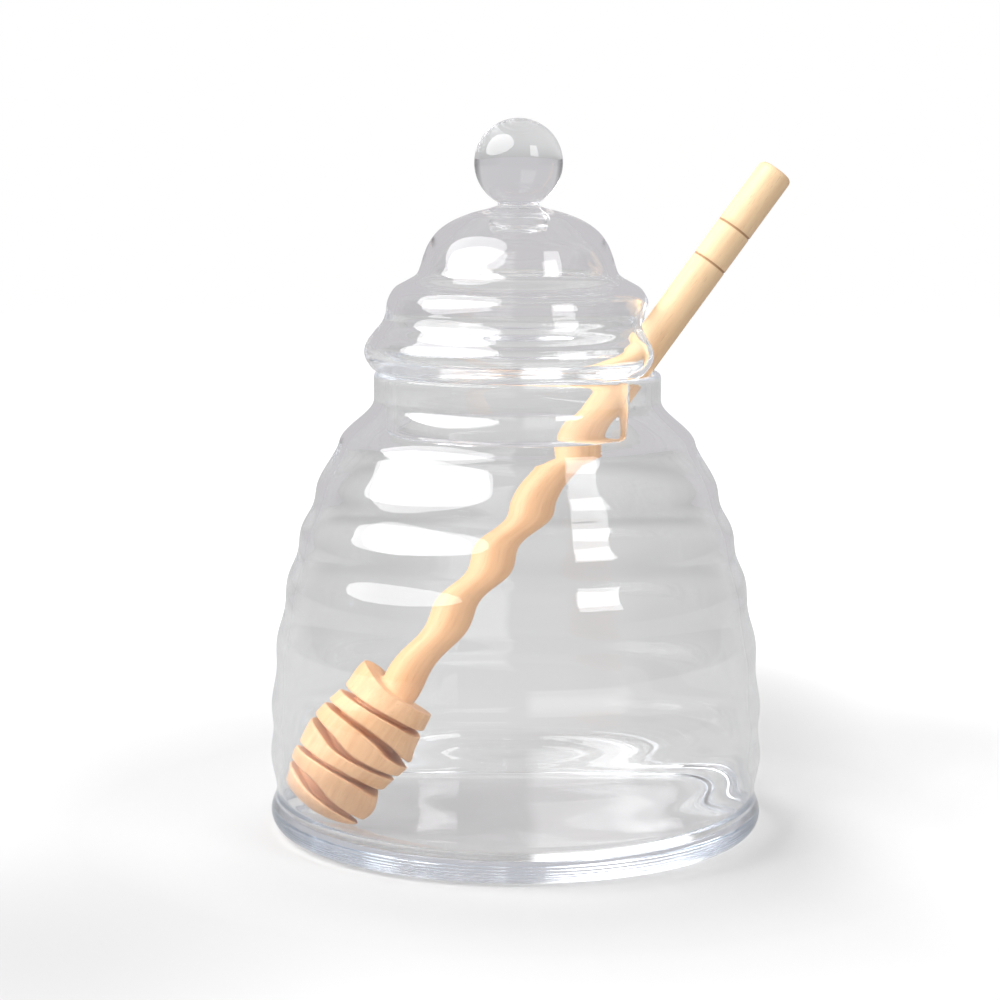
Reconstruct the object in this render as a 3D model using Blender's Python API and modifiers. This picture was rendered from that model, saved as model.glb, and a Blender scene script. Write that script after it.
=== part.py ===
"""Glass beehive honey jar with its lid and a wooden dipper.

The jar is one blown piece of clear glass, rippled like a straw beehive. The lid is one piece
too: a dome in three tiers with a ball knob, a rolled flange that rests on the jar's rim, and a
collar that drops into the neck. An arched notch through flange and collar lets the dipper's
stick out. The dipper is one turned piece of wood. It leans across the empty jar, with its head
on the floor and its stick on the rim.

Sizes are in millimetres and become metres where the meshes are made. The origin is on the jar's
axis, on the surface that it stands on, and the dipper leans towards +X, turned a little to +Y.
"""
import math

import bmesh
import bpy

MM = 0.001
GAP = 0.3                       # left between pieces that touch

# The jar's outside is a smooth beehive outline with a ripple laid over it
JAR_RADIUS = 50.0               # before the ripple, at the lowest rib
JAR_HEIGHT = 93.4               # to the top of the rim
WALL = 2.0
FLOOR = 3.0
RIB_HEIGHTS = (15.4, 25.6, 38.8, 51.3, 61.6, 71.2, 84.5)
RIPPLE_LOW, RIPPLE_HIGH = 0.25, 0.36    # half the depth of the ripple, at the lowest and the top rib
INNER_RIPPLE = 0.8              # the inside follows the mould less than the outside
HIVE_DROP = 16.4                # how far the outline comes in up to the top rib
HIVE_POWER = 2.3                # how late it comes in
SHOULDER_HEIGHT = 78.8          # where the shoulder starts to turn into the neck
NECK_HEIGHT = 87.8              # where the neck is upright
NECK_RADIUS = 29.05
PINCH_HEIGHT, PINCH_RADIUS = 8.0, 49.1      # the waist just above the heel
HEEL_HEIGHT, HEEL_RADIUS = 3.6, 50.25       # the heel's widest ring, also its lower rounding
HEEL_STEPS = 3                  # from the waist to the heel
INNER_CORNER = 4.5              # rounding between floor and wall
INNER_STEP = 3.0                # height between the inside's rings of points
JAR_SIDES = 48

# The lid
KNOB_RADIUS = 8.9
KNOB_HEIGHT = 135.3             # of the ball's centre
KNOB_STEM = 4.1
FLANGE_RADIUS = 31.0
FLANGE_FOOT = 29.0              # outer edge of the flat that rests on the rim
COLLAR_RADIUS = 26.4
COLLAR_WALL = 1.7
COLLAR_BOTTOM = 80.6
LID_REST = JAR_HEIGHT + GAP
LID_TIERS = (                   # (radius, height) down the outside, from the knob's stem to the flange
    (KNOB_STEM, 126.8), (5.8, 126.2), (9.6, 125.2), (13.4, 123.6), (16.2, 121.6), (18.0, 119.2),
    (19.1, 116.6), (19.7, 114.6), (20.5, 112.9), (22.6, 111.6), (24.7, 110.4), (25.8, 108.9),
    (26.4, 107.3), (26.65, 105.3), (27.4, 103.4), (29.0, 101.4), (30.4, 99.5), (FLANGE_RADIUS, 97.6),
    (30.7, 96.0), (29.9, 94.7), (FLANGE_FOOT, LID_REST))
LID_HOLLOW = (                  # (radius, height) up the inside, from the collar to the plug under the knob
    (COLLAR_RADIUS - COLLAR_WALL, 94.6), (26.0, 95.9), (28.3, 96.4), (28.5, 98.2), (26.9, 100.4),
    (25.2, 103.0), (24.7, 105.4), (24.3, 107.2), (23.3, 108.9), (20.6, 110.3), (18.4, 112.6),
    (17.3, 115.6), (15.9, 118.4), (13.2, 121.0), (9.6, 123.0), (6.6, 123.9), (5.4, 121.8), (0.0, 121.7))
LID_SIDES = 38
NOTCH_HALF_WIDTH = 13.0         # the notch is an arch, with a top as round as it is wide
NOTCH_TOP = 107.0
NOTCH_TURN = -5.0               # degrees from +X, towards -Y
NOTCH_REACH = (14.0, 40.0)      # how far from the axis the notch's cut starts and ends

# The dipper
DIPPER_LENGTH = 158.2
DIPPER_TILT = 36.2              # degrees from upright
DIPPER_TURN = 7.5               # degrees from +X, towards +Y
STICK_RADIUS = 3.7
STICK_ROUNDING = 1.2            # of its top edge
BURNT_RINGS = (14.6, 23.0)      # distances from the top end
RING_WIDTH = 0.6
RING_DEPTH = 0.25
HEAD_LENGTH = 28.5
HEAD_RADIUS = 10.4              # at its middle
HEAD_TOP_RADIUS = 8.5
HEAD_BARREL = 2.2               # how square the barrel's side is
CAP_LENGTH, CAP_RADIUS = 3.6, 8.8           # the domed lower end
GROOVES = 5
GROOVE_FIRST = 5.2              # from the top of the head to the first groove's middle
GROOVE_PITCH = 4.8
GROOVE_WIDTH = 1.3
GROOVE_CORE = 6.4               # radius left at the bottom of a groove
DIPPER_SIDES = 20


def smoothstep(t):
    t = min(max(t, 0.0), 1.0)
    return t * t * (3.0 - 2.0 * t)


def arc(centre_r, centre_z, radius, start, end, steps):
    """Points on an arc, by angle in degrees from outwards, without its first point."""
    angles = [math.radians(start + (end - start) * i / steps) for i in range(1, steps + 1)]
    return [(centre_r + radius * math.cos(a), centre_z + radius * math.sin(a)) for a in angles]


def ripple(z):
    """How far the ripple stands out at z: one full wave from each rib to the next."""
    first, last = RIB_HEIGHTS[0], RIB_HEIGHTS[-1]
    size = RIPPLE_LOW + (RIPPLE_HIGH - RIPPLE_LOW) * smoothstep((z - first) / (last - first))
    for low, high in zip(RIB_HEIGHTS, RIB_HEIGHTS[1:]):
        if low <= z <= high:
            return size * math.cos(2 * math.pi * (z - low) / (high - low))
    return size


def jar_radius(z, share=1.0):
    """Outer radius of the jar at z, above the heel. share is how much of the ripple it has."""
    first, last = RIB_HEIGHTS[0], RIB_HEIGHTS[-1]
    if z <= first:
        top = JAR_RADIUS + ripple(first) * share
        rise = smoothstep((z - PINCH_HEIGHT) / (first - PINCH_HEIGHT))
        return PINCH_RADIUS + (top - PINCH_RADIUS) * rise
    body_z = min(z, SHOULDER_HEIGHT)
    body = JAR_RADIUS - HIVE_DROP * ((body_z - first) / (last - first)) ** HIVE_POWER
    body += ripple(body_z) * share
    turn = smoothstep((z - SHOULDER_HEIGHT) / (NECK_HEIGHT - SHOULDER_HEIGHT))
    return body + (NECK_RADIUS - body) * turn


def inner_point(z):
    """The point of the inside that lies a wall's thickness from the outside at z."""
    reach = 0.05
    rise = jar_radius(z + reach, INNER_RIPPLE) - jar_radius(z - reach, INNER_RIPPLE)
    slope = rise / (2 * reach)
    length = math.hypot(1.0, slope)
    return jar_radius(z, INNER_RIPPLE) - WALL / length, z + WALL * slope / length


def jar_outline():
    """The jar in section: from the middle of the floor up the inside, over the rim, down the outside."""
    low, high = FLOOR + INNER_CORNER + 1.5, NECK_HEIGHT + 1.0
    count = round((high - low) / INNER_STEP)
    inside = [inner_point(low + (high - low) * i / count) for i in range(count + 1)]
    corner_r = inside[0][0] - INNER_CORNER
    floor = [(0.0, FLOOR), (corner_r, FLOOR)]
    floor += arc(corner_r, FLOOR + INNER_CORNER, INNER_CORNER, -90, 0, 4)

    rim = WALL / 2
    rim_r, rim_z = NECK_RADIUS - rim, JAR_HEIGHT - rim
    lip = [(rim_r - rim, rim_z)] + arc(rim_r, rim_z, rim, 180, 0, 6)

    outside = []
    turns = (NECK_HEIGHT, SHOULDER_HEIGHT, *RIB_HEIGHTS[-2::-1], PINCH_HEIGHT)
    steps = (6, 3, *[4] * (len(RIB_HEIGHTS) - 2), 3)
    for top, bottom, count in zip(turns, turns[1:], steps):
        heights = [top + (bottom - top) * i / count for i in range(count)]
        outside += [(jar_radius(z), z) for z in heights]
    for i in range(HEEL_STEPS + 1):
        share = i / HEEL_STEPS
        outside.append((PINCH_RADIUS + (HEEL_RADIUS - PINCH_RADIUS) * smoothstep(share),
                        PINCH_HEIGHT + (HEEL_HEIGHT - PINCH_HEIGHT) * share))
    outside += arc(HEEL_RADIUS - HEEL_HEIGHT, HEEL_HEIGHT, HEEL_HEIGHT, 0, -90, 4)
    return floor + inside + lip + outside + [(0.0, 0.0)]


def lid_outline():
    """The lid in section: from the top of the knob down the outside, round the collar, up the inside."""
    stem_angle = math.degrees(math.asin(KNOB_STEM / KNOB_RADIUS)) - 90
    knob = [(0.0, KNOB_HEIGHT + KNOB_RADIUS)]
    knob += arc(0.0, KNOB_HEIGHT, KNOB_RADIUS, 90, stem_angle, 9)
    end = COLLAR_WALL / 2
    fillet = 0.5
    collar = [(COLLAR_RADIUS + fillet, LID_REST), (COLLAR_RADIUS, LID_REST - fillet)]
    collar.append((COLLAR_RADIUS, COLLAR_BOTTOM + end))
    collar += arc(COLLAR_RADIUS - end, COLLAR_BOTTOM + end, end, 0, -180, 4)
    return knob + list(LID_TIERS) + collar + list(LID_HOLLOW)


def head_radius(s):
    """Radius of the dipper's head at a distance s from its lower end, as if it had no grooves."""
    if s < CAP_LENGTH:
        return CAP_RADIUS * math.sqrt(1.0 - (1.0 - s / CAP_LENGTH) ** 2)
    middle = HEAD_LENGTH / 2
    above = s > middle
    edge = HEAD_TOP_RADIUS if above else CAP_RADIUS
    reach = middle if above else middle - CAP_LENGTH
    return HEAD_RADIUS - (HEAD_RADIUS - edge) * (abs(s - middle) / reach) ** HEAD_BARREL


def dipper_outline():
    """The dipper in section, from its top end down: (radius, distance from the lower end)."""
    top = DIPPER_LENGTH
    points = [(0.0, top), (STICK_RADIUS - STICK_ROUNDING, top)]
    points += arc(STICK_RADIUS - STICK_ROUNDING, top - STICK_ROUNDING, STICK_ROUNDING, 90, 0, 3)
    for distance in BURNT_RINGS:
        s = top - distance
        points.append((STICK_RADIUS, s + RING_WIDTH / 2))
        points.append((STICK_RADIUS - RING_DEPTH, s))
        points.append((STICK_RADIUS, s - RING_WIDTH / 2))
    points += [(STICK_RADIUS, HEAD_LENGTH), (HEAD_TOP_RADIUS, HEAD_LENGTH)]
    last = HEAD_LENGTH
    for i in range(GROOVES):
        middle = HEAD_LENGTH - GROOVE_FIRST - GROOVE_PITCH * i
        upper, lower = middle + GROOVE_WIDTH / 2, middle - GROOVE_WIDTH / 2
        rings = [(last + upper) / 2, upper]
        points += [(head_radius(s), s) for s in rings]
        points += [(GROOVE_CORE, upper), (GROOVE_CORE, lower), (head_radius(lower), lower)]
        last = lower
    points += [(head_radius(last * share), last * share) for share in (0.62, 0.32, 0.1, 0.0)]
    return points


def dipper_foot():
    """Where the dipper's lower end is, with its head on the jar's floor and its stick on the rim."""
    tilt, turn, notch = (math.radians(a) for a in (DIPPER_TILT, DIPPER_TURN, NOTCH_TURN))
    stations = [i * HEAD_LENGTH / 600 for i in range(601)]
    lowest = min(s * math.cos(tilt) - head_radius(s) * math.sin(tilt) for s in stations)
    z = FLOOR + GAP - lowest
    rim = WALL / 2
    rim_r, rim_z = NECK_RADIUS - rim, JAR_HEIGHT - rim
    reach = STICK_RADIUS + rim + GAP
    # where the stick's axis crosses the rim's height, in the middle of the notch
    crossing = rim_r - reach * math.hypot(1.0, math.tan(tilt) * math.cos(turn - notch))
    run = (rim_z - z) * math.tan(tilt)
    x = crossing * math.cos(notch) - run * math.cos(turn)
    y = crossing * math.sin(notch) - run * math.sin(turn)
    return x, y, z


def material(name, colour, roughness, transmission=0.0, ior=1.5):
    made = bpy.data.materials.new(name)
    made.use_nodes = True
    shader = made.node_tree.nodes["Principled BSDF"]
    shader.inputs["Base Color"].default_value = (*colour, 1.0)
    shader.inputs["Roughness"].default_value = roughness
    shader.inputs["Metallic"].default_value = 0.0
    shader.inputs["Transmission Weight"].default_value = transmission
    shader.inputs["IOR"].default_value = ior
    return made


def turned(name, outline, sides, collection, finish):
    """A solid of revolution about its own Z. The outline starts and ends on the axis."""
    mesh = bpy.data.meshes.new(name)
    points = [(r * MM, 0.0, z * MM) for r, z in outline]
    mesh.from_pydata(points, [(i, i + 1) for i in range(len(points) - 1)], [])
    mesh.materials.append(finish)
    piece = bpy.data.objects.new(name, mesh)
    collection.objects.link(piece)
    screw = piece.modifiers.new("Turning", "SCREW")
    screw.axis = "Z"
    screw.steps = sides
    screw.render_steps = sides
    screw.use_merge_vertices = True
    screw.merge_threshold = 1e-6
    screw.use_smooth_shade = True
    return piece


def notch_cutter(collection):
    """A block with an arched top that cuts the notch through one side of the lid."""
    inner, outer = NOTCH_REACH
    bottom = COLLAR_BOTTOM - 5.0
    size = (outer - inner, 2 * NOTCH_HALF_WIDTH, NOTCH_TOP - bottom)
    middle = ((outer + inner) / 2, 0.0, (NOTCH_TOP + bottom) / 2)
    shape = bmesh.new()
    bmesh.ops.create_cube(shape, size=1.0)
    for vertex in shape.verts:
        vertex.co = [(c * s + m) * MM for c, s, m in zip(vertex.co, size, middle)]
    lengthways = [e for e in shape.edges if e.verts[0].co.x != e.verts[1].co.x]
    upper = [e for e in lengthways if e.verts[0].co.z > middle[2] * MM]
    rounding = 0.999 * NOTCH_HALF_WIDTH * MM
    bmesh.ops.bevel(shape, geom=upper, offset=rounding, segments=7, profile=0.5, affect="EDGES")
    mesh = bpy.data.meshes.new("notch_cutter")
    shape.to_mesh(mesh)
    shape.free()
    cutter = bpy.data.objects.new("notch_cutter", mesh)
    cutter.rotation_euler.z = math.radians(NOTCH_TURN)
    cutter.hide_render = True
    cutter.display_type = "WIRE"
    collection.objects.link(cutter)
    return cutter


def main():
    for old in list(bpy.data.objects):
        bpy.data.objects.remove(old)
    parts = bpy.data.collections.new("honey_jar")
    cutters = bpy.data.collections.new("cutters")
    for collection in (parts, cutters):
        bpy.context.scene.collection.children.link(collection)

    glass = material("clear_glass", (0.93, 0.95, 0.96), 0.0, transmission=1.0, ior=1.48)
    beech = material("pale_beech", (0.86, 0.62, 0.40), 0.55)

    turned("jar", jar_outline(), JAR_SIDES, parts, glass)

    lid = turned("lid", lid_outline(), LID_SIDES, parts, glass)
    notch = lid.modifiers.new("Notch", "BOOLEAN")
    notch.operation = "DIFFERENCE"
    notch.solver = "EXACT"
    notch.object = notch_cutter(cutters)

    dipper = turned("dipper", dipper_outline(), DIPPER_SIDES, parts, beech)
    dipper.location = [c * MM for c in dipper_foot()]
    dipper.rotation_euler = (0.0, math.radians(DIPPER_TILT), math.radians(DIPPER_TURN))


main()
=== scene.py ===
# A beehive honey jar of clear glass with its lid, and a turned beech dipper that leans
# across the empty jar and out through the notch in the lid.
# Sizes in the dictionaries are millimetres, and the row frame is in metres.
import math

import bmesh
import bpy
from mathutils import Matrix, Quaternion, Vector


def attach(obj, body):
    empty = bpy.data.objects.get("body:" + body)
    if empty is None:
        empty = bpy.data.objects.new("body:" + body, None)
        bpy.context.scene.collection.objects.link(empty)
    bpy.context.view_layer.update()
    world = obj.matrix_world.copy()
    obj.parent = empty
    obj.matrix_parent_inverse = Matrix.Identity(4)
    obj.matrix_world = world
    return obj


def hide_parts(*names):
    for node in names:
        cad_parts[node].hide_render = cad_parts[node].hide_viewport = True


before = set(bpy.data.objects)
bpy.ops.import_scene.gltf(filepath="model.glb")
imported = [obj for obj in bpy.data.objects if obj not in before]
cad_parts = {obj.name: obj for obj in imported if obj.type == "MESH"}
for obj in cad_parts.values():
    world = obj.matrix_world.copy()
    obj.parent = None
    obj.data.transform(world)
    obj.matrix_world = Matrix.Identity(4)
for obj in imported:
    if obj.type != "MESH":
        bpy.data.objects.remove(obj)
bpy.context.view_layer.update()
scene = bpy.context.scene
mm = 0.001
print("frame loaded:", ", ".join(sorted(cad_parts)))


# Small helpers for outlines

def smoothStep(t):
    t = min(max(t, 0.0), 1.0)
    return t * t * (3 - 2 * t)


def arcPoints(centreR, centreZ, radius, start, end, steps):
    # angles in degrees from outwards, without the first point
    turns = [math.radians(start + (end - start) * i / steps) for i in range(1, steps + 1)]
    return [(centreR + radius * math.cos(a), centreZ + radius * math.sin(a)) for a in turns]


def smoothLine(knots, steps):
    # Catmull-Rom through the knots
    points = [knots[0]]
    padded = [knots[0], *knots, knots[-1]]
    for a, b, c, d in zip(padded, padded[1:], padded[2:], padded[3:]):
        for i in range(1, steps + 1):
            t = i / steps
            points.append(tuple(
                0.5 * (2 * q + (r - p) * t + (2 * p - 5 * q + 4 * r - s) * t ** 2
                       + (3 * q - p - 3 * r + s) * t ** 3)
                for p, q, r, s in zip(a, b, c, d)))
    return points


def straight(start, end, steps):
    # without the first point
    return [tuple(p + (q - p) * i / steps for p, q in zip(start, end))
            for i in range(1, steps + 1)]


def radiusAt(outline, z):
    # outline goes one way in height
    for (r0, z0), (r1, z1) in zip(outline, outline[1:]):
        if min(z0, z1) <= z <= max(z0, z1) and z0 != z1:
            return r0 + (r1 - r0) * (z - z0) / (z1 - z0)
    raise ValueError(f"the outline has no point at {z}")


def spaced(outline, step):
    # the outline again, with points about a step apart
    lengths = [0.0]
    for a, b in zip(outline, outline[1:]):
        lengths.append(lengths[-1] + math.dist(a, b))
    count = max(1, round(lengths[-1] / step))
    points, at = [], 0
    for i in range(count + 1):
        want = lengths[-1] * i / count
        while at < len(outline) - 2 and lengths[at + 1] < want:
            at += 1
        share = (want - lengths[at]) / (lengths[at + 1] - lengths[at])
        points.append(tuple(p + (q - p) * share for p, q in zip(outline[at], outline[at + 1])))
    return points


def makePiece(name, vertices, faces, material, place=Matrix()):
    mesh = bpy.data.meshes.new(name)
    mesh.from_pydata([tuple(c * mm for c in v) for v in vertices], [], faces)
    mesh.transform(place)
    shape = bmesh.new()
    shape.from_mesh(mesh)
    bmesh.ops.recalc_face_normals(shape, faces=shape.faces)
    for face in shape.faces:
        face.smooth = True
    shape.to_mesh(mesh)
    shape.free()
    mesh.materials.append(material)
    piece = bpy.data.objects.new(name, mesh)
    scene.collection.objects.link(piece)
    return piece


def turnedMesh(outline, sides):
    # rings of points round Z, one point where the outline is on the axis
    vertices, faces, rings = [], [], []
    for r, z in outline:
        if r < 1e-6:
            rings.append([len(vertices)] * sides)
            vertices.append((0, 0, z))
            continue
        rings.append(list(range(len(vertices), len(vertices) + sides)))
        for i in range(sides):
            turn = 2 * math.pi * i / sides
            vertices.append((r * math.cos(turn), r * math.sin(turn), z))
    for low, high in zip(rings, rings[1:]):
        for i in range(sides):
            j = (i + 1) % sides
            corners = [low[i], low[j], high[j], high[i]]
            faces.append([c for k, c in enumerate(corners) if c not in corners[:k]])
    return vertices, faces


# Materials

def linear(hexColour):
    # sRGB hex to linear
    channels = [int(hexColour[i:i + 2], 16) / 255 for i in (1, 3, 5)]
    return (*[c / 12.92 if c <= 0.04045 else ((c + 0.055) / 1.055) ** 2.4 for c in channels], 1)


def addNode(tree, kind, settings=None, links=None):
    node = tree.nodes.new(kind)
    for key, value in (settings or {}).items():
        if isinstance(key, str) and hasattr(node, key):
            setattr(node, key, value)
        else:
            node.inputs[key].default_value = value
    for key, source in (links or {}).items():
        tree.links.new(source, node.inputs[key])
    return node


def newMaterial(name):
    material = bpy.data.materials.new(name)
    material.use_nodes = True
    return material, material.node_tree, material.node_tree.nodes["Principled BSDF"]


# Borosilicate glass, blown in a ribbed mould and fire polished: clear, with hardly any
# tint, a mirror-smooth skin, and the faint slow waves that blowing leaves.
glassLook = {"tint": "#ffffff", "ior": 1.474, "waveWidth": 16, "waveStrength": 0.05,
             "depthTint": "#c9ddf0", "depthDensity": 2.5}


def blownGlass():
    material, tree, shader = newMaterial("borosilicateBlown")
    shader.inputs["Base Color"].default_value = linear(glassLook["tint"])
    shader.inputs["Roughness"].default_value = 0.0
    shader.inputs["IOR"].default_value = glassLook["ior"]
    shader.inputs["Transmission Weight"].default_value = 1.0
    place = addNode(tree, "ShaderNodeTexCoord")
    waves = addNode(tree, "ShaderNodeTexNoise",
                    {"Scale": 1 / (glassLook["waveWidth"] * mm), "Detail": 1.0},
                    {"Vector": place.outputs["Object"]})
    bump = addNode(tree, "ShaderNodeBump",
                   {"Strength": glassLook["waveStrength"], "Distance": 1 * mm},
                   {"Height": waves.outputs["Fac"]})
    tree.links.new(bump.outputs["Normal"], shader.inputs["Normal"])
    depth = addNode(tree, "ShaderNodeVolumeAbsorption",
                    {"Color": linear(glassLook["depthTint"]), "Density": glassLook["depthDensity"]})
    tree.links.new(depth.outputs["Volume"], tree.nodes["Material Output"].inputs["Volume"])
    return material


# Beech, turned and sanded, with no finish: pale and warm, matt, with straight grain along
# the stick, short darker flecks, and darker wood where the tool burnt it.
beechLook = {
    # groove is painted shade, laid into the grooves of the head
    "pale": "#f8d8ae", "deep": "#eec79c", "fleck": "#bd8d64", "burnt": "#a87a55", "groove": "#d99f76",
    "grainWidth": 1.3, "grainLength": 22, "fleckWidth": 0.22, "fleckLength": 2.2,
    # shadedHeadTone to litEndTone is painted light along the dipper, lighter out of the jar
    "shadedHeadTone": "#f4e2d6", "litEndTone": "#ffffff", "litFrom": 92, "litTo": 124,
    "roughness": 0.52,
}


def turnedBeech(dipper, foot):
    material, tree, shader = newMaterial("beechTurnedSanded")
    # coordinates along the dipper, from the middle of its lower end
    place = addNode(tree, "ShaderNodeMapping",
                    {"vector_type": "TEXTURE", "Location": foot,
                     "Rotation": (0, math.radians(dipper["tilt"]), math.radians(dipper["turn"]))},
                    {"Vector": addNode(tree, "ShaderNodeTexCoord").outputs["Object"]})
    place = place.outputs["Vector"]

    def streaks(width, length, detail):
        stretch = addNode(tree, "ShaderNodeMapping",
                          {"Scale": (1 / (width * mm), 1 / (width * mm), 1 / (length * mm))},
                          {"Vector": place})
        return addNode(tree, "ShaderNodeTexNoise", {"Scale": 1.0, "Detail": detail},
                       {"Vector": stretch.outputs["Vector"]}).outputs["Fac"]

    grain = streaks(beechLook["grainWidth"], beechLook["grainLength"], 3.0)
    fleck = streaks(beechLook["fleckWidth"], beechLook["fleckLength"], 1.0)
    wood = addNode(tree, "ShaderNodeValToRGB", links={"Fac": grain})
    wood.color_ramp.elements[0].position = 0.3
    wood.color_ramp.elements[0].color = linear(beechLook["deep"])
    wood.color_ramp.elements[1].position = 0.65
    wood.color_ramp.elements[1].color = linear(beechLook["pale"])
    fleckShare = addNode(tree, "ShaderNodeMapRange",
                         {"From Min": 0.62, "From Max": 0.78, "To Min": 0.0, "To Max": 0.35},
                         {"Value": fleck})
    fleckedAndLit = addNode(tree, "ShaderNodeMix", {"data_type": "RGBA", 7: linear(beechLook["fleck"])},
                      {0: fleckShare.outputs["Result"], 6: wood.outputs["Color"]})

    # painted light: the stick is lighter towards its free end, out of the jar where more light falls,
    # and darker on the head and inside the jar
    split = addNode(tree, "ShaderNodeSeparateXYZ", links={"Vector": place})
    along = addNode(tree, "ShaderNodeMapRange",
                    {"From Min": beechLook["litFrom"] * mm, "From Max": beechLook["litTo"] * mm},
                    {"Value": split.outputs["Z"]})
    litTone = addNode(tree, "ShaderNodeMix",
                   {"data_type": "RGBA", 6: linear(beechLook["shadedHeadTone"]),
                    7: linear(beechLook["litEndTone"])}, {0: along.outputs["Result"]})
    fleckedAndLit = addNode(tree, "ShaderNodeMix",
                      {"data_type": "RGBA", "blend_type": "MULTIPLY", 0: 1.0},
                      {6: fleckedAndLit.outputs[2], 7: litTone.outputs[2]})

    # painted shade in the grooves: darker the nearer to the core
    flat = addNode(tree, "ShaderNodeCombineXYZ",
                   links={"X": split.outputs["X"], "Y": split.outputs["Y"]})
    fromAxis = addNode(tree, "ShaderNodeVectorMath", {"operation": "LENGTH"},
                       {0: flat.outputs["Vector"]})
    grooveShadeDepth = addNode(tree, "ShaderNodeMapRange",
                   {"From Min": (dipper["headRadius"] - 1.6) * mm,
                    "From Max": (dipper["grooveCore"] + 0.4) * mm,
                    "To Min": 0.0, "To Max": 0.75}, {"Value": fromAxis.outputs["Value"]})
    inHead = addNode(tree, "ShaderNodeMath",
                     {"operation": "LESS_THAN", 1: (dipper["headLength"] - 2.5) * mm},
                     {0: split.outputs["Z"]})
    aboveCap = addNode(tree, "ShaderNodeMath",
                       {"operation": "GREATER_THAN", 1: dipper["capLength"] * mm},
                       {0: split.outputs["Z"]})
    inGrooves = addNode(tree, "ShaderNodeMath", {"operation": "MULTIPLY"},
                        {0: inHead.outputs["Value"], 1: aboveCap.outputs["Value"]})
    grooveShare = addNode(tree, "ShaderNodeMath", {"operation": "MULTIPLY"},
                          {0: grooveShadeDepth.outputs["Result"], 1: inGrooves.outputs["Value"]})
    colour = addNode(tree, "ShaderNodeMix", {"data_type": "RGBA", 7: linear(beechLook["groove"])},
                     {0: grooveShare.outputs["Value"], 6: fleckedAndLit.outputs[2]}).outputs[2]

    # the two burnt rings
    for distance in dipper["rings"]:
        away = addNode(tree, "ShaderNodeMath",
                       {"operation": "SUBTRACT", 1: (dipper["length"] - distance) * mm},
                       {0: split.outputs["Z"]})
        off = addNode(tree, "ShaderNodeMath", {"operation": "ABSOLUTE"},
                      {0: away.outputs["Value"]})
        share = addNode(tree, "ShaderNodeMapRange",
                        {"From Min": dipper["ringWidth"] * 0.7 * mm,
                         "From Max": dipper["ringWidth"] * 0.35 * mm,
                         "To Min": 0.0, "To Max": 0.85}, {"Value": off.outputs["Value"]})
        colour = addNode(tree, "ShaderNodeMix",
                         {"data_type": "RGBA", 7: linear(beechLook["burnt"])},
                         {0: share.outputs["Result"], 6: colour}).outputs[2]

    tree.links.new(colour, shader.inputs["Base Color"])
    shader.inputs["Roughness"].default_value = beechLook["roughness"]
    bump = addNode(tree, "ShaderNodeBump", {"Strength": 0.25, "Distance": 0.06 * mm},
                   {"Height": grain})
    tree.links.new(bump.outputs["Normal"], shader.inputs["Normal"])
    return material


glass = blownGlass()
print("glass made")


# The jar

jar = {
    "radius": 50.0, "height": 93.4, "wall": 2.0, "floor": 3.0,
    "ribs": (15.4, 25.6, 38.8, 51.3, 61.6, 71.2, 84.5),
    "rippleLow": 0.25, "rippleHigh": 0.43, "innerRipple": 0.62,
    "hiveDrop": 16.4, "hivePower": 2.3,
    "shoulderHeight": 78.8, "neckHeight": 87.8, "neckRadius": 29.05,
    "pinchHeight": 8.0, "pinchRadius": 49.1,
    "heelHeight": 3.6, "heelRadius": 50.25, "innerCorner": 4.5,
    "sides": 192, "step": 0.8,
}


def ripple(z):
    ribs = jar["ribs"]
    rise = smoothStep((z - ribs[0]) / (ribs[-1] - ribs[0]))
    size = jar["rippleLow"] + (jar["rippleHigh"] - jar["rippleLow"]) * rise
    for low, high in zip(ribs, ribs[1:]):
        if low <= z <= high:
            return size * math.cos(2 * math.pi * (z - low) / (high - low))
    return size


def jarRadius(z, share=1.0):
    first, last = jar["ribs"][0], jar["ribs"][-1]
    if z <= first:
        top = jar["radius"] + ripple(first) * share
        rise = smoothStep((z - jar["pinchHeight"]) / (first - jar["pinchHeight"]))
        return top - (top - jar["pinchRadius"]) * (1 - rise) * share
    bodyZ = min(z, jar["shoulderHeight"])
    body = jar["radius"] - jar["hiveDrop"] * ((bodyZ - first) / (last - first)) ** jar["hivePower"]
    body += ripple(bodyZ) * share
    turn = smoothStep((z - jar["shoulderHeight"]) / (jar["neckHeight"] - jar["shoulderHeight"]))
    return body + (jar["neckRadius"] - body) * turn


def innerPoint(z):
    # a wall's thickness in from the outside, square to it
    reach = 0.05
    rise = jarRadius(z + reach, jar["innerRipple"]) - jarRadius(z - reach, jar["innerRipple"])
    slope = rise / (2 * reach)
    length = math.hypot(1, slope)
    return jarRadius(z, jar["innerRipple"]) - jar["wall"] / length, z + jar["wall"] * slope / length


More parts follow.
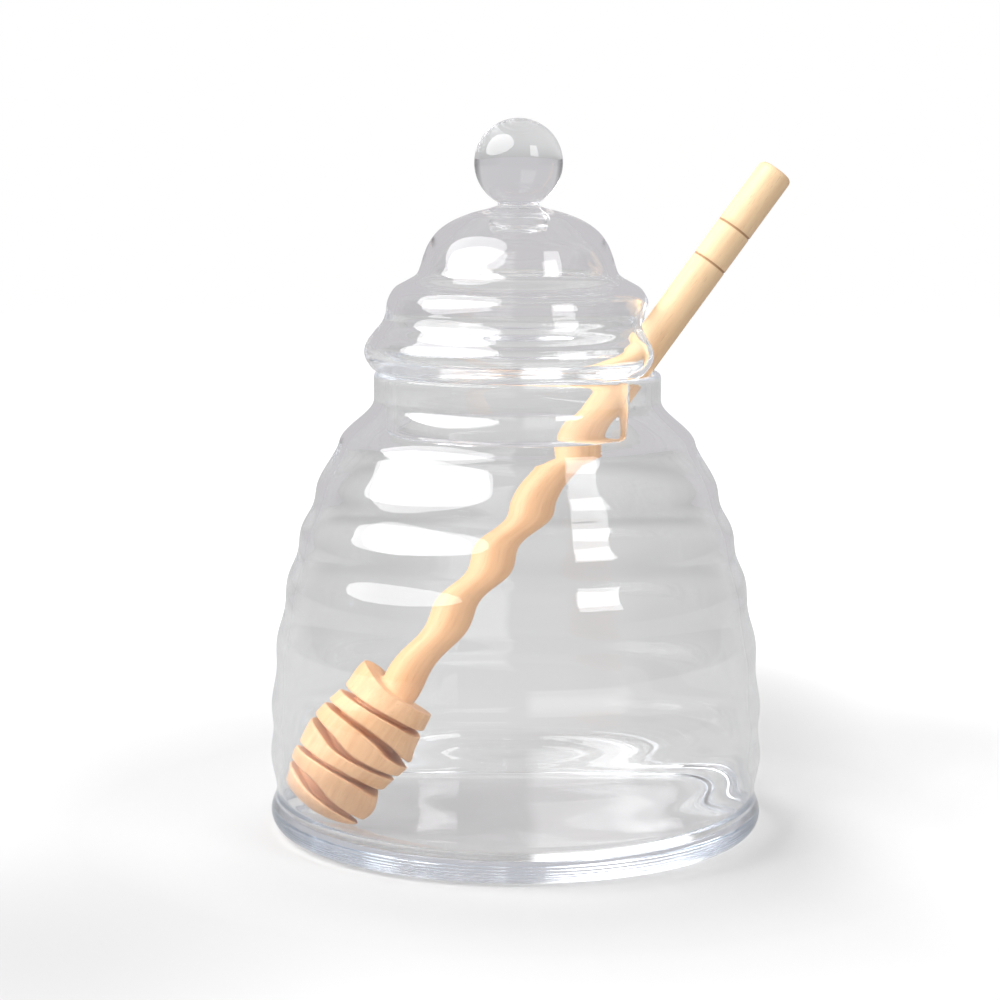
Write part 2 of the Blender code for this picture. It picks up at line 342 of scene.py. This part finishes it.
def jarOutline():
    low = jar["floor"] + jar["innerCorner"] + 1.5
    high = jar["neckHeight"] + 1.0
    inside = [innerPoint(low + (high - low) * i / 400) for i in range(401)]
    cornerR = inside[0][0] - jar["innerCorner"]
    corner = [(cornerR, jar["floor"])] + arcPoints(
        cornerR, jar["floor"] + jar["innerCorner"], jar["innerCorner"], -90, 0, 24)
    floor = [(0.0, jar["floor"])] + straight((0.0, jar["floor"]), corner[0], 24)

    half = jar["wall"] / 2
    rimR, rimZ = jar["neckRadius"] - half, jar["height"] - half
    insideNeck = [inside[-1], (rimR - half, rimZ)]
    rim = arcPoints(rimR, rimZ, half, 180, 0, 12)

    low = jar["pinchHeight"]
    outside = [(jarRadius(low + (jar["neckHeight"] - low) * i / 500),
                low + (jar["neckHeight"] - low) * i / 500) for i in range(500, -1, -1)]
    bulge, drop = jar["heelRadius"] - jar["pinchRadius"], jar["pinchHeight"] - jar["heelHeight"]
    heel = [(jar["pinchRadius"] + bulge * smoothStep(i / 16), jar["pinchHeight"] - drop * i / 16)
            for i in range(17)]
    heel += arcPoints(jar["heelRadius"] - jar["heelHeight"], jar["heelHeight"],
                      jar["heelHeight"], 0, -90, 28)
    under = straight(heel[-1], (0.0, 0.0), 24)

    step = jar["step"]
    outline = floor[:-1] + corner + spaced([corner[-1], *inside], step)[1:]
    outline += spaced(insideNeck, step)[1:] + rim
    outline += spaced([rim[-1], *outside], step)[1:] + heel[1:] + under
    return outline


jarPiece = makePiece("jar_glass", *turnedMesh(jarOutline(), jar["sides"]), glass)
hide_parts("jar")
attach(jarPiece, "root")
print("jar made:", len(jarPiece.data.polygons), "faces")


# The lid

lid = {
    "knobRadius": 8.9, "knobHeight": 135.3, "knobStem": 4.1,
    "collarRadius": 26.4, "collarWall": 1.7, "collarBottom": 80.6, "rest": jar["height"] + 0.3,
    # (radius, height) down the outside, from the knob's stem to the flange
    "tiers": ((4.1, 126.8), (5.8, 126.2), (9.6, 125.2), (13.4, 123.6), (16.2, 121.6), (18.0, 119.2),
              (19.1, 116.6), (19.7, 114.6), (20.5, 112.9), (22.6, 111.6), (24.7, 110.4),
              (25.8, 108.9), (26.4, 107.3), (26.65, 105.3), (27.4, 103.4), (29.0, 101.4),
              (30.4, 99.5), (31.0, 97.6), (30.7, 96.0), (29.9, 94.7), (29.4, 94.1), (28.9, 93.8),
              (28.3, 93.7)),
    # and up the inside, from the collar to the plug under the knob
    "hollow": ((24.7, 94.0), (24.8, 94.7), (25.4, 95.5), (26.6, 96.0), (27.8, 96.3), (28.5, 97.0),
               (28.6, 98.0), (28.0, 99.2), (26.9, 100.5), (25.2, 103.0), (24.7, 105.4), (24.3, 107.2), (23.3, 108.9), (20.6, 110.3), (18.4, 112.6),
               (17.3, 115.6), (15.9, 118.4), (13.2, 121.0), (9.6, 123.0), (6.6, 123.9),
               (5.7, 123.5), (5.7, 122.9), (6.0, 122.2), (5.4, 121.8), (3.6, 121.7), (0.0, 121.7)),
    "notchHalf": 13.0, "notchTop": 107.0, "notchTurn": -5.0, "notchLip": 1.0,
    "sides": 192, "step": 0.8, "archSteps": 64, "lipSteps": 8,
    "fillet": 0.5, "filletSteps": 12, "endSteps": 8,
}


def lidRows():
    # the section as rows of (radius, height, half the notch's width there), and where the
    # notch's edge starts and ends on the outside and on the inside
    spread = lid["notchHalf"] + lid["notchLip"]
    spring = lid["notchTop"] - lid["notchHalf"]
    top = spring + spread
    turns = [math.radians(90 * i / lid["archSteps"]) for i in range(lid["archSteps"] + 1)]
    arch = [(spring + spread * math.cos(t), spread * math.sin(t)) for t in turns]

    stemTurn = math.degrees(math.asin(lid["knobStem"] / lid["knobRadius"])) - 90
    knob = [(0.0, lid["knobHeight"] + lid["knobRadius"])]
    knob += arcPoints(0.0, lid["knobHeight"], lid["knobRadius"], 90, stemTurn, 48)
    outer = smoothLine(lid["tiers"], 12)
    inner = smoothLine(lid["hollow"], 12)

    above = spaced([p for p in outer if p[1] > top] + [(radiusAt(outer, top), top)], lid["step"])
    outerArch = [(radiusAt(outer, z), z, half) for z, half in arch]
    innerArch = [(radiusAt(inner, max(z, inner[0][1])), z, half) for z, half in arch]

    end = lid["collarWall"] / 2
    lipZ = lid["collarBottom"] + end
    fillet, steps = lid["fillet"], lid["endSteps"]
    outerDown = [p for p in outer if p[1] < spring]
    outerDown += straight(outerDown[-1], (lid["collarRadius"] + fillet, lid["rest"]), 6)
    outerDown += arcPoints(lid["collarRadius"] + fillet, lid["rest"] - fillet, fillet, 90, 180,
                           lid["filletSteps"])
    outerDown += straight(outerDown[-1], (lid["collarRadius"], lipZ), 16)
    outerDown += arcPoints(lid["collarRadius"] - end, lipZ, end, 0, -90, steps)
    innerUp = arcPoints(lid["collarRadius"] - end, lipZ, end, -90, -180, steps)
    innerUp += straight(innerUp[-1], (innerUp[-1][0], spring), len(outerDown) - steps)

    rows = [(r, z, 0.0) for r, z in knob + above[:-1]]
    outerStart = len(rows)
    rows += outerArch
    rows += [(r, z, spread) for r, z in outerDown]
    lip = len(rows) - 1
    rows += [(r, z, spread) for r, z in innerUp[:-1]]
    rows += innerArch[::-1]
    innerStart = len(rows) - 1
    rest = [(radiusAt(inner, top), top)] + [p for p in inner if p[1] > top or p[0] < 15]
    rows += [(r, z, 0.0) for r, z in spaced(rest, lid["step"])[1:]]
    return rows, outerStart, lip, innerStart


def lidMesh():
    rows, outerStart, lip, innerStart = lidRows()
    sides = lid["sides"]
    middle = math.radians(lid["notchTurn"])
    spring = lid["notchTop"] - lid["notchHalf"]
    vertices, faces, rings = [], [], []
    for r, z, half in rows:
        start = len(vertices)
        if r < 1e-6:
            vertices.append((0, 0, z))
            rings.append([start] * (sides + 1))
            continue
        gap = math.asin(half / r) if half > 1e-9 else 0.0
        count = sides + 1 if gap else sides
        for i in range(count):
            turn = middle + gap + (2 * math.pi - 2 * gap) * i / sides
            vertices.append((r * math.cos(turn), r * math.sin(turn), z))
        ring = list(range(start, start + count))
        rings.append(ring if gap else ring + [start])
    for low, high in zip(rings, rings[1:]):
        for i in range(sides):
            corners = [low[i], low[i + 1], high[i + 1], high[i]]
            faces.append([c for k, c in enumerate(corners) if c not in corners[:k]])

    # the notch's edge: a rounded strip from the outer skin to the inner one
    across = Vector((-math.sin(middle), math.cos(middle), 0))

    def intoNotch(index, row, neighbour):
        # along the skin, square to the edge, towards the middle of the notch
        here = Vector(vertices[index])
        side = here.dot(across)
        towards = -side * across
        if here.z > spring:
            towards.z = spring - here.z
        r0, z0, _ = rows[row - 1]
        r1, z1, _ = rows[row + 1]
        flat = Vector((here.x, here.y, 0)).normalized()
        normal = (flat * (z1 - z0) + Vector((0, 0, r0 - r1))).normalized()
        along = (Vector(vertices[neighbour]) - here)
        along.normalize()
        towards -= towards.dot(normal) * normal
        towards -= towards.dot(along) * along
        return towards.normalized()

    steps = lid["lipSteps"]
    rungs = lip - outerStart
    shared = None
    for column in (0, sides):
        strip = []
        for k in range(rungs):
            outRow, inRow = outerStart + k, innerStart - k
            out, into = rings[outRow][column], rings[inRow][column]
            if k == 0 and shared:
                strip.append(shared)
                continue
            pOut, pIn = Vector(vertices[out]), Vector(vertices[into])
            reach = 1.7 * min((pIn - pOut).length, 2.2)
            if k == 0:
                tOut = intoNotch(out, outRow, rings[outRow][1])
                tIn = intoNotch(into, inRow, rings[inRow][1])
            else:
                tOut = intoNotch(out, outRow, rings[outRow + 1][column])
                tIn = intoNotch(into, inRow, rings[inRow - 1][column])
            rung = [out]
            for s in range(1, steps):
                t = s / steps
                point = ((2 * t ** 3 - 3 * t ** 2 + 1) * pOut + (t ** 3 - 2 * t ** 2 + t) * reach * tOut
                         + (3 * t ** 2 - 2 * t ** 3) * pIn - (t ** 3 - t ** 2) * reach * tIn)
                rung.append(len(vertices))
                vertices.append(tuple(point))
            rung.append(into)
            strip.append(rung)
            if k == 0:
                shared = rung
        strip.append([rings[lip][column]] * (steps + 1))
        for low, high in zip(strip, strip[1:]):
            for i in range(steps):
                corners = [low[i], low[i + 1], high[i + 1], high[i]]
                faces.append([c for k, c in enumerate(corners) if c not in corners[:k]])
    return vertices, faces


lidPiece = makePiece("lid_glass", *lidMesh(), glass)
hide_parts("lid")
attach(lidPiece, "root")
print("lid made:", len(lidPiece.data.polygons), "faces")


# The dipper

dipper = {
    "length": 158.2, "tilt": 36.2, "turn": 7.5, "stickRadius": 3.7, "stickRounding": 1.2,
    "rings": (14.6, 23.0), "ringWidth": 0.45, "ringDepth": 0.15,
    "headLength": 28.5, "headRadius": 10.4, "headTopRadius": 8.5, "barrel": 2.2,
    "capLength": 3.6, "capRadius": 8.8,
    "grooves": 5, "grooveFirst": 5.2, "groovePitch": 4.8, "grooveWidth": 1.3, "grooveCore": 6.4,
    "edge": 0.35, "gap": 0.3, "sides": 96,
}


def headRadius(s):
    if s < dipper["capLength"]:
        return dipper["capRadius"] * math.sqrt(1 - (1 - s / dipper["capLength"]) ** 2)
    middle = dipper["headLength"] / 2
    above = s > middle
    end = dipper["headTopRadius"] if above else dipper["capRadius"]
    reach = middle if above else middle - dipper["capLength"]
    drop = (abs(s - middle) / reach) ** dipper["barrel"]
    return dipper["headRadius"] - (dipper["headRadius"] - end) * drop


def dipperOutline():
    top = dipper["length"]
    stick, rounding, edge = dipper["stickRadius"], dipper["stickRounding"], dipper["edge"]
    points = [(0.0, top)] + straight((0.0, top), (stick - rounding, top), 4)
    points += arcPoints(stick - rounding, top - rounding, rounding, 90, 0, 8)
    for distance in dipper["rings"]:
        s = top - distance
        half = dipper["ringWidth"] / 2
        points += straight(points[-1], (stick, s + half), 10)
        points += [(stick - dipper["ringDepth"] * 0.8, s + half * 0.4),
                   (stick - dipper["ringDepth"], s),
                   (stick - dipper["ringDepth"] * 0.8, s - half * 0.4), (stick, s - half)]
    points += straight(points[-1], (stick, dipper["headLength"] + 0.6), 60)
    points += [(stick + 0.15, dipper["headLength"] + 0.2), (stick + 0.6, dipper["headLength"])]
    points += straight(points[-1], (dipper["headTopRadius"] - edge, dipper["headLength"]), 6)
    points += arcPoints(dipper["headTopRadius"] - edge, dipper["headLength"] - edge, edge, 90, 0, 4)
    last = dipper["headLength"] - edge
    for i in range(dipper["grooves"]):
        middle = dipper["headLength"] - dipper["grooveFirst"] - dipper["groovePitch"] * i
        upper = middle + dipper["grooveWidth"] / 2
        lower = middle - dipper["grooveWidth"] / 2
        for j in range(1, 7):
            s = last + (upper + edge - last) * j / 6
            points.append((headRadius(s), s))
        core = dipper["grooveCore"]
        points += arcPoints(headRadius(upper + edge) - edge, upper + edge, edge, 0, -90, 4)
        points += straight(points[-1], (core + 0.3, upper), 4)
        points += [(core + 0.08, upper - 0.1), (core, upper - 0.35), (core, lower + 0.35),
                   (core + 0.08, lower + 0.1), (core + 0.3, lower)]
        points += straight(points[-1], (headRadius(lower - edge) - edge, lower), 4)
        points += arcPoints(headRadius(lower - edge) - edge, lower - edge, edge, 90, 0, 4)
        last = lower - edge
    points += [(headRadius(last * math.cos(math.pi * j / 48)), last * math.cos(math.pi * j / 48))
               for j in range(1, 24)]
    return points + [(0.0, 0.0)]


def dipperFoot():
    # the head lies on the floor of the jar and the stick on its rim
    tilt = math.radians(dipper["tilt"])
    stations = [i * dipper["headLength"] / 600 for i in range(601)]
    lowest = min(s * math.cos(tilt) - headRadius(s) * math.sin(tilt) for s in stations)
    z = jar["floor"] + dipper["gap"] - lowest
    half = jar["wall"] / 2
    rimR, rimZ = jar["neckRadius"] - half, jar["height"] - half
    notch, turn = math.radians(lid["notchTurn"]), math.radians(dipper["turn"])
    reach = dipper["stickRadius"] + half + dipper["gap"]
    r = rimR - reach * math.hypot(1, math.tan(tilt) * math.cos(turn - notch))
    run = (rimZ - z) * math.tan(tilt)
    return Vector((r * math.cos(notch) - run * math.cos(turn),
                   r * math.sin(notch) - run * math.sin(turn), z)) * mm


foot = dipperFoot()
leaning = (Matrix.Translation(foot) @ Matrix.Rotation(math.radians(dipper["turn"]), 4, "Z")
           @ Matrix.Rotation(math.radians(dipper["tilt"]), 4, "Y"))
dipperPiece = makePiece("dipper_beech", *turnedMesh(dipperOutline(), dipper["sides"]),
                        turnedBeech(dipper, foot), leaning)
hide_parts("dipper")
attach(dipperPiece, "root")
print("dipper made:", len(dipperPiece.data.polygons), "faces")


# Floor, backdrop, lights and camera

# The photograph's studio is pale grey, and its backdrop is cut out to white. So the floor
# and the surroundings are white where the camera sees them, and grey through the glass.
studio = {
    "surround": "#c8c6c9", "side": 0.12, "sideFrom": 0.72, "sideTo": 0.93, "bounced": 0.55,
    "paper": 0.34, "whiteNear": 0.43, "whiteFar": 0.90, "whiteFrom": 0.09, "whiteTo": 0.25,
    # soft shades on the floor: middle, reach in x and y, full up to this share of it, depth
    "shades": (
        {"at": (0.006, -0.02, 0.0), "reach": (0.078, 0.078), "full": 0.54, "depth": 0.12},
        {"at": (0.05, 0.13, 0.0), "reach": (0.045, 0.10), "full": 0.2, "depth": 0.17},
        {"at": (0.095, -0.005, 0.0), "reach": (0.05, 0.10), "full": 0.2, "depth": -0.17},
        {"at": (-0.11, -0.13, 0.0), "reach": (0.10, 0.13), "full": 0.2, "depth": 0.26},
    ),
    "glassPaper": 0.19, "glassNear": 0.44, "glassFar": 0.45, "glassFrom": 0.19, "glassTo": 0.36,
    "patch": 1.5, "patchFrom": 3, "patchTo": 51, "patchEdge": 5, "patchEnd": 0.35,
    "floorSize": 3.0, "floorDrop": 0.3,
}


def stageFloor():
    half, low = studio["floorSize"] / 2, -studio["floorDrop"] * mm
    mesh = bpy.data.meshes.new("floor")
    mesh.from_pydata([(-half, -half, low), (half, -half, low), (half, half, low), (-half, half, low)],
                     [], [(0, 1, 2, 3)])
    material, tree, shader = newMaterial("paperMatte")
    path = addNode(tree, "ShaderNodeLightPath")
    paper = addNode(tree, "ShaderNodeMix",
                    {"data_type": "RGBA", 6: (*[studio["glassPaper"]] * 3, 1),
                     7: (*[studio["paper"]] * 3, 1)}, {0: path.outputs["Is Camera Ray"]})
    tree.links.new(paper.outputs[2], shader.inputs["Base Color"])
    shader.inputs["Roughness"].default_value = 0.9
    shader.inputs["Specular IOR Level"].default_value = 0.0
    shader.inputs["Emission Color"].default_value = (1, 1, 1, 1)
    place = addNode(tree, "ShaderNodeTexCoord")
    away = addNode(tree, "ShaderNodeVectorMath", {"operation": "LENGTH"},
                   {0: place.outputs["Object"]})
    seen = addNode(tree, "ShaderNodeMapRange",
                   {"From Min": studio["whiteFrom"], "From Max": studio["whiteTo"],
                    "To Min": studio["whiteNear"], "To Max": studio["whiteFar"]},
                   {"Value": away.outputs["Value"]})
    # the jar's own soft shadow, the longer one behind it, and the room's fall of light
    seen = seen.outputs["Result"]
    shades = []
    for spot in studio["shades"]:
        off = addNode(tree, "ShaderNodeVectorMath", {"operation": "SUBTRACT", 1: spot["at"]},
                      {0: place.outputs["Object"]})
        share = addNode(tree, "ShaderNodeVectorMath", {"operation": "DIVIDE", 1: (*spot["reach"], 1.0)},
                        {0: off.outputs["Vector"]})
        share = addNode(tree, "ShaderNodeVectorMath", {"operation": "LENGTH"},
                        {0: share.outputs["Vector"]})
        shade = addNode(tree, "ShaderNodeMapRange",
                        {"interpolation_type": "SMOOTHSTEP", "From Min": spot["full"],
                         "From Max": 1.0, "To Min": spot["depth"], "To Max": 0.0},
                        {"Value": share.outputs["Value"]})
        shades.append(shade.outputs["Result"])
        seen = addNode(tree, "ShaderNodeMath", {"operation": "SUBTRACT"},
                       {0: seen, 1: shades[-1]}).outputs["Value"]
    hidden = addNode(tree, "ShaderNodeMapRange",
                     {"From Min": studio["glassFrom"], "From Max": studio["glassTo"],
                      "To Min": studio["glassNear"], "To Max": studio["glassFar"]},
                     {"Value": away.outputs["Value"]})
    hidden = addNode(tree, "ShaderNodeMath", {"operation": "SUBTRACT"},
                     {0: hidden.outputs["Result"], 1: shades[0]})
    # the lit part of the table, in front on the right, that the glass mirrors
    split = addNode(tree, "ShaderNodeSeparateXYZ", links={"Vector": place.outputs["Object"]})
    towards = addNode(tree, "ShaderNodeMath", {"operation": "MULTIPLY", 1: -1.0},
                      {0: split.outputs["Y"]})
    azimuth = addNode(tree, "ShaderNodeMath", {"operation": "ARCTAN2"},
                      {0: split.outputs["X"], 1: towards.outputs["Value"]})
    fading = addNode(tree, "ShaderNodeMapRange",
                     {"From Min": studio["patchEnd"], "From Max": studio["patchEnd"] + 0.15,
                      "To Min": studio["patch"], "To Max": 0.0}, {"Value": away.outputs["Value"]})
    mirrored = addNode(tree, "ShaderNodeMath", {"operation": "MINIMUM", 1: 1.0},
                       {0: path.outputs["Glossy Depth"]})
    patch = addNode(tree, "ShaderNodeMath", {"operation": "MULTIPLY"},
                    {0: fading.outputs["Result"], 1: mirrored.outputs["Value"]}).outputs["Value"]
    for edge, side in ((studio["patchFrom"], 1), (studio["patchTo"], -1)):
        inside = addNode(tree, "ShaderNodeMapRange",
                         {"From Min": math.radians(edge),
                          "From Max": math.radians(edge + side * studio["patchEdge"])},
                         {"Value": azimuth.outputs["Value"]})
        patch = addNode(tree, "ShaderNodeMath", {"operation": "MULTIPLY"},
                        {0: patch, 1: inside.outputs["Result"]}).outputs["Value"]
    lit = addNode(tree, "ShaderNodeMath", {"operation": "ADD"}, {0: hidden.outputs["Value"], 1: patch})
    soft = addNode(tree, "ShaderNodeMapRange", {"To Min": 1.0, "To Max": studio["bounced"]},
                   {"Value": path.outputs["Is Diffuse Ray"]})
    lit = addNode(tree, "ShaderNodeMath", {"operation": "MULTIPLY"},
                  {0: lit.outputs["Value"], 1: soft.outputs["Result"]})
    glow = addNode(tree, "ShaderNodeMix", {"data_type": "FLOAT"},
                   {0: path.outputs["Is Camera Ray"], 2: lit.outputs["Value"],
                    3: seen})
    tree.links.new(glow.outputs[0], shader.inputs["Emission Strength"])
    mesh.materials.append(material)
    floor = bpy.data.objects.new("floor", mesh)
    scene.collection.objects.link(floor)


def surroundings():
    world = bpy.data.worlds.new("studio")
    scene.world = world
    world.use_nodes = True
    tree = world.node_tree
    path = addNode(tree, "ShaderNodeLightPath")
    colour = addNode(tree, "ShaderNodeMix",
                     {"data_type": "RGBA", 6: linear(studio["surround"]), 7: (1, 1, 1, 1)},
                     {0: path.outputs["Is Camera Ray"]})
    strength = addNode(tree, "ShaderNodeMapRange", {"To Min": 1.0, "To Max": studio["bounced"]},
                       {"Value": path.outputs["Is Diffuse Ray"]})
    # darker to the left and right, which draws the edges of the glass
    split = addNode(tree, "ShaderNodeSeparateXYZ",
                    links={"Vector": addNode(tree, "ShaderNodeTexCoord").outputs["Generated"]})
    across = addNode(tree, "ShaderNodeMath", {"operation": "ABSOLUTE"}, {0: split.outputs["X"]})
    side = addNode(tree, "ShaderNodeMapRange",
                   {"From Min": studio["sideFrom"], "From Max": studio["sideTo"],
                    "To Min": 1.0, "To Max": studio["side"]}, {"Value": across.outputs["Value"]})
    seen = addNode(tree, "ShaderNodeMath", {"operation": "MAXIMUM"},
                   {0: side.outputs["Result"], 1: path.outputs["Is Camera Ray"]})
    seen = addNode(tree, "ShaderNodeMath", {"operation": "MULTIPLY"},
                   {0: seen.outputs["Value"], 1: strength.outputs["Result"]})
    background = tree.nodes["Background"]
    tree.links.new(colour.outputs[2], background.inputs["Color"])
    tree.links.new(seen.outputs["Value"], background.inputs["Strength"])


# azimuth from the camera's side, left is negative; sizes and distance in metres
softboxes = {
    "windowLeft": {"shape": "ELLIPSE", "azimuth": -70, "elevation": 45, "distance": 0.9,
                   "width": 1.22, "height": 0.80, "radiance": 6.4, "upright": False, "lean": 24},
    "windowRight": {"shape": "RECTANGLE", "azimuth": 45, "elevation": 34.4, "distance": 1.085,
                    "width": 0.36, "height": 0.54, "radiance": 6.4, "upright": True, "lean": -8},
}


def addSoftbox(name, box):
    lamp = bpy.data.lights.new(name, "AREA")
    lamp.shape = box["shape"]
    lamp.size, lamp.size_y = box["width"], box["height"]
    area = box["width"] * box["height"] * (math.pi / 4 if box["shape"] == "ELLIPSE" else 1)
    lamp.energy = box["radiance"] * math.pi * area
    light = bpy.data.objects.new(name, lamp)
    light.visible_camera = False
    azimuth, elevation = math.radians(box["azimuth"]), math.radians(box["elevation"])
    middle = Vector((0, 0, 60 * mm))
    away = Vector((math.sin(azimuth) * math.cos(elevation), -math.cos(azimuth) * math.cos(elevation),
                   math.sin(elevation)))
    light.location = middle + away * box["distance"]
    if box["upright"]:
        away.z = 0
    turn = away.to_track_quat("Z", "Y") @ Quaternion((0, 0, 1), math.radians(box["lean"]))
    light.rotation_euler = turn.to_euler()
    scene.collection.objects.link(light)


lens = {"length": 98.1, "place": (-0.00343, -0.550, 0.143), "pitch": 7.86, "roll": 0.25}


def addCamera():
    camera = bpy.data.cameras.new("camera")
    camera.sensor_width = 36
    camera.lens = lens["length"]
    camera.clip_start = 0.01
    holder = bpy.data.objects.new("camera", camera)
    holder.matrix_world = (Matrix.Translation(lens["place"])
                           @ Matrix.Rotation(math.radians(90 - lens["pitch"]), 4, "X")
                           @ Matrix.Rotation(math.radians(lens["roll"]), 4, "Z"))
    scene.collection.objects.link(holder)
    scene.camera = holder


stageFloor()
surroundings()
for boxName, box in softboxes.items():
    addSoftbox(boxName, box)
addCamera()
scene.view_settings.view_transform = "Standard"
scene.cycles.max_bounces = 160
scene.cycles.transmission_bounces = 160
scene.cycles.glossy_bounces = 160
scene.cycles.diffuse_bounces = 4
scene.cycles.blur_glossy = 0.0
print("stage, lights and camera made")

bpy.context.view_layer.update()
